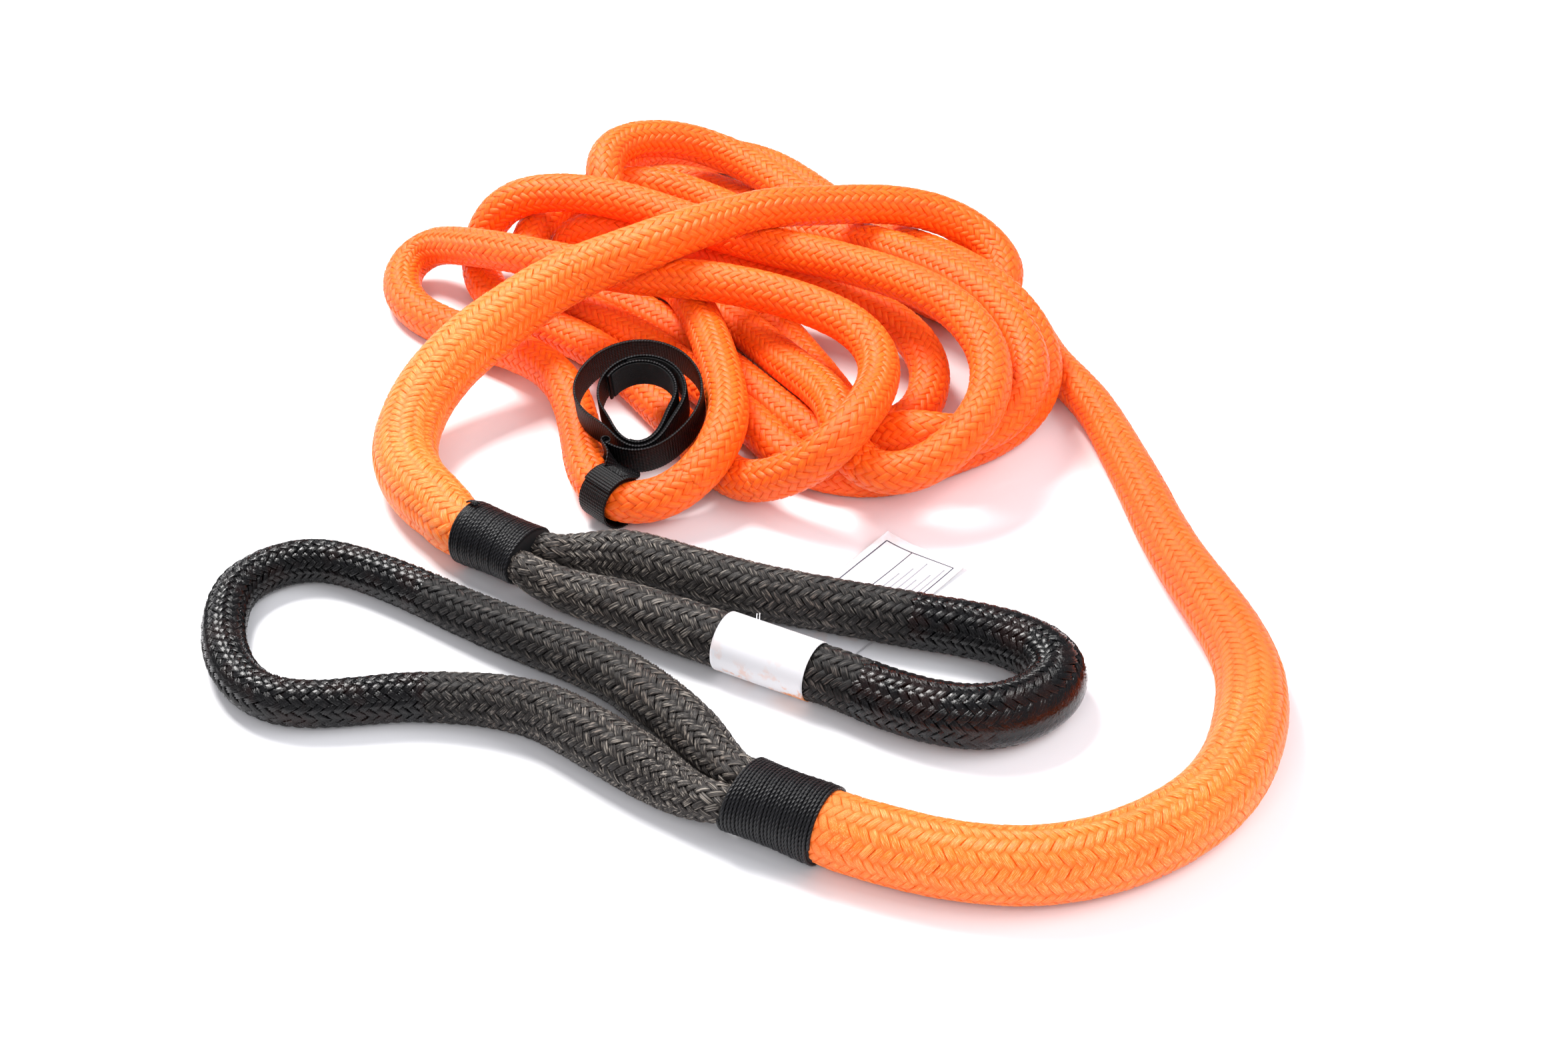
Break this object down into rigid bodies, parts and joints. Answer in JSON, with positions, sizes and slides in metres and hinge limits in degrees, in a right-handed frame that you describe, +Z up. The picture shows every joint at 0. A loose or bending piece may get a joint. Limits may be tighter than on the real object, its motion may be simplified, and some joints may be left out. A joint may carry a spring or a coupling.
{
  "type": "coiled kinetic recovery rope",
  "caption": "Coiled double-braid stretch rope with a sleeved, coated and whipped spliced eye at each end, a label sleeve and a rolled storage strap.",
  "frame": {"origin": "on the ground below the middle of the whole lay", "axes": "+Z up, +Y from the eyes towards the coil, +X to the right seen from the eyes"},
  "size_m": [0.6642, 0.9018, 0.118],
  "materials": {
    "rope_cover": "orange braided nylon, soft sheen, fine filaments",
    "rope_core": "undyed braided nylon",
    "eye_sleeve": "dark grey plied braid, matte with light fibre glints",
    "eye_coating": "glossy black polyurethane soaked into the braid",
    "twine": "black whipping twine, satin",
    "webbing": "black ribbed webbing",
    "label_paper": "white coated label sheet, slight sheen"
  },
  "bodies": {
    "coil": {"rope_cover_coil": "rope_cover", "rope_core_coil": "rope_core"},
    "tail_f": {"rope_cover_tail": "rope_cover", "rope_core_tail": "rope_core"},
    "splice_f": {"splice_cover_f": "rope_cover", "splice_core_f": "rope_core", "buried_tail_f": "rope_core", "whipping_f": "twine", "throat_legs_f": "rope_core"},
    "eye_f": {"eye_sleeve_f": "eye_sleeve", "eye_rope_f": "rope_core", "eye_coating_f": "eye_coating"},
    "splice_r": {"splice_cover_r": "rope_cover", "splice_core_r": "rope_core", "buried_tail_r": "rope_core", "whipping_r": "twine", "throat_legs_r": "rope_core", "whipping_knot_r": "twine"},
    "eye_r": {"eye_sleeve_r": "eye_sleeve", "eye_rope_r": "rope_core", "eye_coating_r": "eye_coating"},
    "label": {"label_sleeve": "label_paper", "label_tail": "label_paper", "label_thread": "label_paper"},
    "strap_cinch": {"strap_cinch": "webbing", "strap_stitching": "webbing"},
    "strap_roll": {"strap_roll": "webbing", "strap_hook_patch": "webbing", "strap_loop_patch": "webbing"}
  },
  "joints": [
    {"name": "tail_swing", "type": "hinge", "parent": "coil", "child": "tail_f", "pos_m": [0.2435, 0.06873, 0.01358], "axis": [0, 0, 1], "range_deg": [0, 20]},
    {"name": "splice_f_swing", "type": "hinge", "parent": "tail_f", "child": "splice_f", "pos_m": [0.28546, -0.13393, 0.01773], "axis": [0, 0, 1], "range_deg": [0, 15]},
    {"name": "eye_f_lift", "type": "hinge", "parent": "splice_f", "child": "eye_f", "pos_m": [-0.00428, -0.36355, 0.02285], "axis": [0.5067, 0.8621, 0], "range_deg": [0, 40]},
    {"name": "splice_r_lift", "type": "hinge", "parent": "coil", "child": "splice_r", "pos_m": [-0.17357, 0.08639, 0.05982], "axis": [-0.6881, 0.7256, 0], "range_deg": [0, 15]},
    {"name": "eye_r_lift", "type": "hinge", "parent": "splice_r", "child": "eye_r", "pos_m": [-0.12041, -0.14681, 0.02285], "axis": [-0.5566, -0.8308, 0], "range_deg": [0, 40]},
    {"name": "label_slide", "type": "slide", "parent": "eye_r", "child": "label", "axis": [-0.8728, 0.4881, 0], "range_m": [-0.006, 0.006]},
    {"name": "cinch_turn", "type": "hinge", "parent": "coil", "child": "strap_cinch", "pos_m": [-0.08644, -0.0617, 0.01868], "axis": [0.6832, -0.7302, 0], "range_deg": [0, 12]},
    {"name": "roll_lift", "type": "hinge", "parent": "strap_cinch", "child": "strap_roll", "pos_m": [-0.08352, -0.03075, 0.03551], "axis": [0.8703, -0.4925, 0], "range_deg": [0, 35]}
  ]
}
